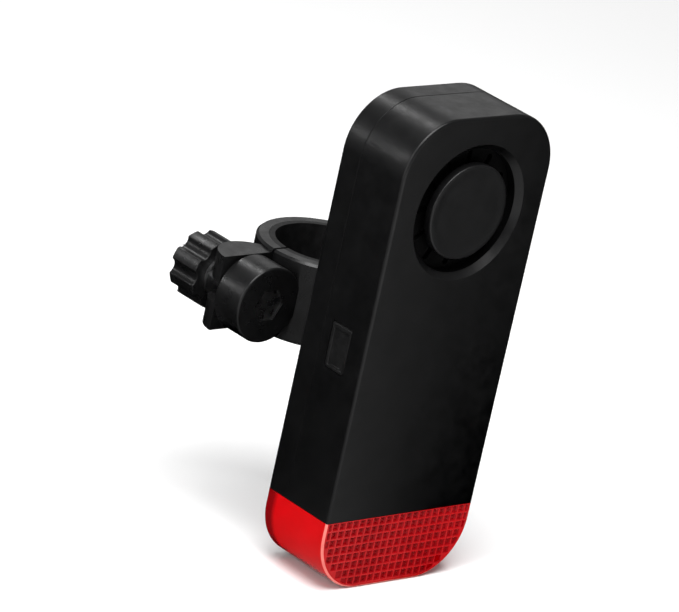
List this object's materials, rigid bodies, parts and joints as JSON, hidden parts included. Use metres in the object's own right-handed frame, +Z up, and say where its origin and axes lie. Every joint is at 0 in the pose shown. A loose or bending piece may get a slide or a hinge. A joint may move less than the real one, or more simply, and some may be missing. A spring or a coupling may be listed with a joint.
{
  "type": "bicycle alarm with tail light",
  "caption": "Slim round-topped bicycle alarm box with a ring-shaped siren grille, a red grid tail-light lens at its foot and a hinged seat-post clamp behind.",
  "frame": {"origin": "centre of the seat-post clamp's bore, half-way up the clamp", "axes": "+Z up along the post's axis and the box's long side, -Y towards the siren and the lens, which face the rider behind, -X the side with the charging port and the clamp's knob"},
  "size_m": [0.0607, 0.072, 0.1266],
  "materials": {
    "case_plastic": "fine textured black ABS",
    "siren_plastic": "satin black ABS",
    "inner_plastic": "plain moulded",
    "clamp_plastic": "glass-filled black nylon",
    "lens_red": "clear red polycarbonate with a moulded grid",
    "rubber": "matt moulded",
    "mesh_cloth": "fine woven",
    "steel": "zinc plated",
    "brass": "machined",
    "board_green": "solder-masked laminate",
    "chip_black": "moulded epoxy",
    "cell_foil": "pouch foil",
    "foam": "double-sided foam",
    "tray_white": "white moulded",
    "led_resin": "clear resin",
    "ribbon": "polyimide"
  },
  "bodies": {
    "unit": {"front_shell": "case_plastic", "back_cover": "case_plastic", "siren_cap": "siren_plastic", "siren_grille": "siren_plastic", "siren_chamber": "inner_plastic", "switch_case": "inner_plastic", "battery_plug": "inner_plastic", "clamp_saddle": "clamp_plastic", "tail_lens": "lens_red", "case_seal": "rubber", "lens_seal": "rubber", "siren_gasket": "rubber", "piezo_retainer": "rubber", "saddle_liner": "rubber", "siren_mesh": "mesh_cloth", "cover_screws": "steel", "lens_screws": "steel", "board_screws": "steel", "foot_screws": "steel", "hinge_pin": "steel", "clamp_bolt": "steel", "charging_socket": "steel", "vibration_sensor": "steel", "foot_inserts": "brass", "piezo_disc": "brass", "radio_aerial": "brass", "main_board": "board_green", "light_board": "board_green", "board_chips": "chip_black", "boost_coil": "chip_black", "battery_cell": "cell_foil", "battery_pad": "foam", "light_tray": "tray_white", "tail_leds": "led_resin", "light_ribbon": "ribbon"},
    "jaw": {"clamp_jaw": "clamp_plastic", "jaw_liner": "rubber"},
    "knob_carriage": {"thrust_washer": "steel"},
    "knob": {"clamp_knob": "clamp_plastic", "knob_insert": "brass"},
    "port_flap": {"port_cover": "rubber"},
    "button": {"power_button": "rubber", "switch_plunger": "inner_plastic"}
  },
  "joints": [
    {"name": "knob_travel", "type": "slide", "parent": "unit", "child": "knob_carriage", "axis": [0, 1, 0], "range_m": [0, 0.01102]},
    {"name": "knob_turn", "type": "hinge", "parent": "knob_carriage", "child": "knob", "pos_m": [-0.025, 0.0148, 0], "axis": [0, 1, 0], "range_deg": [0, 4957.2]},
    {"name": "jaw_swing", "type": "hinge", "parent": "unit", "child": "jaw", "pos_m": [0.0205, 0, 0], "axis": [0, 0, -1], "range_deg": [0, 13.6]},
    {"name": "port_flap_swing", "type": "hinge", "parent": "unit", "child": "port_flap", "pos_m": [-0.0241, -0.0365, 0.0053], "axis": [0, 1, 0], "range_deg": [0, 90]},
    {"name": "button_press", "type": "slide", "parent": "unit", "child": "button", "axis": [-1, 0, 0], "range_m": [0, 0.0006], "stiffness_N_per_m": 800}
  ],
  "couplings": [
    {"joint": "knob_travel", "follows": "jaw_swing", "m_per_rad": 0.0455},
    {"joint": "knob_turn", "follows": "jaw_swing", "ratio": 357.36}
  ]
}
